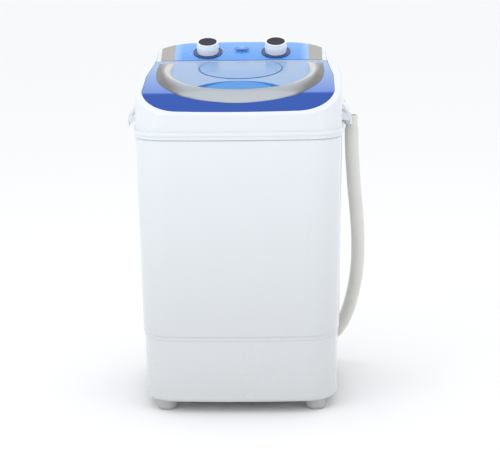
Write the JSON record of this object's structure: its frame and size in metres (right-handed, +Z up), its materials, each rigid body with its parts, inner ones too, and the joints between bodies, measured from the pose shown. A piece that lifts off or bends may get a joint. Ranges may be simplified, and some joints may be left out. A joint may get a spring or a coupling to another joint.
{
  "type": "top-load washing machine",
  "caption": "Portable single-tub top-load washing machine with a hinged blue lid, two control knobs, side grips and a drain hose.",
  "frame": {"origin": "on the floor under the middle of the body", "axes": "+Z up, front with the lid's free edge towards -Y, the hose on the +X side"},
  "size_m": [0.4242, 0.386, 0.6297],
  "materials": {
    "white_plastic": "glossy moulded white",
    "inner_plastic": "satin",
    "blue_clear": "transparent blue, polished",
    "blue_film": "printed film",
    "silver_trim": "satin silver coating",
    "knob_white": "glossy",
    "knob_dark": "dark navy, glossy",
    "grey_rubber": "soft grey",
    "black_rubber": "black",
    "hose_vinyl": "soft off-white",
    "steel": "zinc plated",
    "motor_metal": "dark enamel",
    "dark_plastic": "moulded",
    "bronze": "sintered bronze"
  },
  "bodies": {
    "housing": {"badge": "blue_film", "base_housing": "white_plastic", "bearing_bolts": "steel", "bearing_housing": "inner_plastic", "cabinet_screws": "steel", "cabinet_shell": "white_plastic", "capacitor": "motor_metal", "control_panel": "white_plastic", "cord_gland": "white_plastic", "drain_elbow": "grey_rubber", "drain_hose": "hose_vinyl", "drain_valve_body": "dark_plastic", "drive_belt": "black_rubber", "electrics_cover": "inner_plastic", "foot_screws": "steel", "grip_left": "white_plastic", "grip_right": "white_plastic", "hose_holder": "white_plastic", "hose_nozzle": "hose_vinyl", "lint_filter": "inner_plastic", "motor_housing": "motor_metal", "motor_plate": "steel", "motor_screws": "steel", "panel_overlay": "blue_film", "plate_screws": "steel", "rubber_feet": "grey_rubber", "selector_bezel": "knob_dark", "selector_switch": "dark_plastic", "shaft_bushings": "bronze", "shaft_seal": "grey_rubber", "timer_bezel": "knob_dark", "timer_switch": "dark_plastic", "top_collar": "white_plastic", "trim_strip_left": "silver_trim", "trim_strip_right": "silver_trim", "valve_cap": "dark_plastic", "valve_spring": "steel", "wash_tub": "inner_plastic"},
    "lid": {"lid_panel": "blue_clear", "lid_ring": "silver_trim", "hinge_pins": "steel"},
    "timer_dial": {"timer_knob": "knob_white", "timer_knob_cap": "knob_dark", "timer_spindle": "steel"},
    "selector_dial": {"selector_knob": "knob_white", "selector_knob_cap": "knob_dark", "selector_spindle": "steel"},
    "drain_plunger": {"valve_plunger": "grey_rubber", "valve_rod": "dark_plastic"},
    "agitator": {"pulsator": "inner_plastic", "pulsator_screw": "steel", "pulsator_shaft": "steel", "pulley_nut": "steel", "drive_pulley": "dark_plastic"},
    "rotor": {"motor_rotor": "steel", "motor_pulley": "dark_plastic"}
  },
  "joints": [
    {"name": "lid_hinge", "type": "hinge", "parent": "housing", "child": "lid", "pos_m": [0, 0.1015, 0.5819], "axis": [-1, 0, 0], "range_deg": [0, 93]},
    {"name": "timer_turn", "type": "hinge", "parent": "housing", "child": "timer_dial", "pos_m": [-0.063, 0.14105, 0.60169], "axis": [0, 0.3535, -0.9354], "range_deg": [0, 300]},
    {"name": "selector_turn", "type": "hinge", "parent": "housing", "child": "selector_dial", "pos_m": [0.063, 0.14105, 0.60169], "axis": [0, 0.3535, -0.9354], "range_deg": [0, 90]},
    {"name": "drain_pull", "type": "slide", "parent": "housing", "child": "drain_plunger", "axis": [0, 0, 1], "range_m": [0, 0.012], "deforming": ["valve_spring"]},
    {"name": "agitator_spin", "type": "hinge", "parent": "housing", "child": "agitator", "pos_m": [0, 0, 0.1], "axis": [0, 0, 1], "continuous": true},
    {"name": "rotor_spin", "type": "hinge", "parent": "housing", "child": "rotor", "pos_m": [-0.095, 0, 0.1], "axis": [0, 0, 1], "continuous": true}
  ],
  "couplings": [
    {"joint": "selector_turn", "follows": "drain_pull", "rad_per_m": 130.8},
    {"joint": "rotor_spin", "follows": "agitator_spin", "ratio": 6.8235}
  ]
}
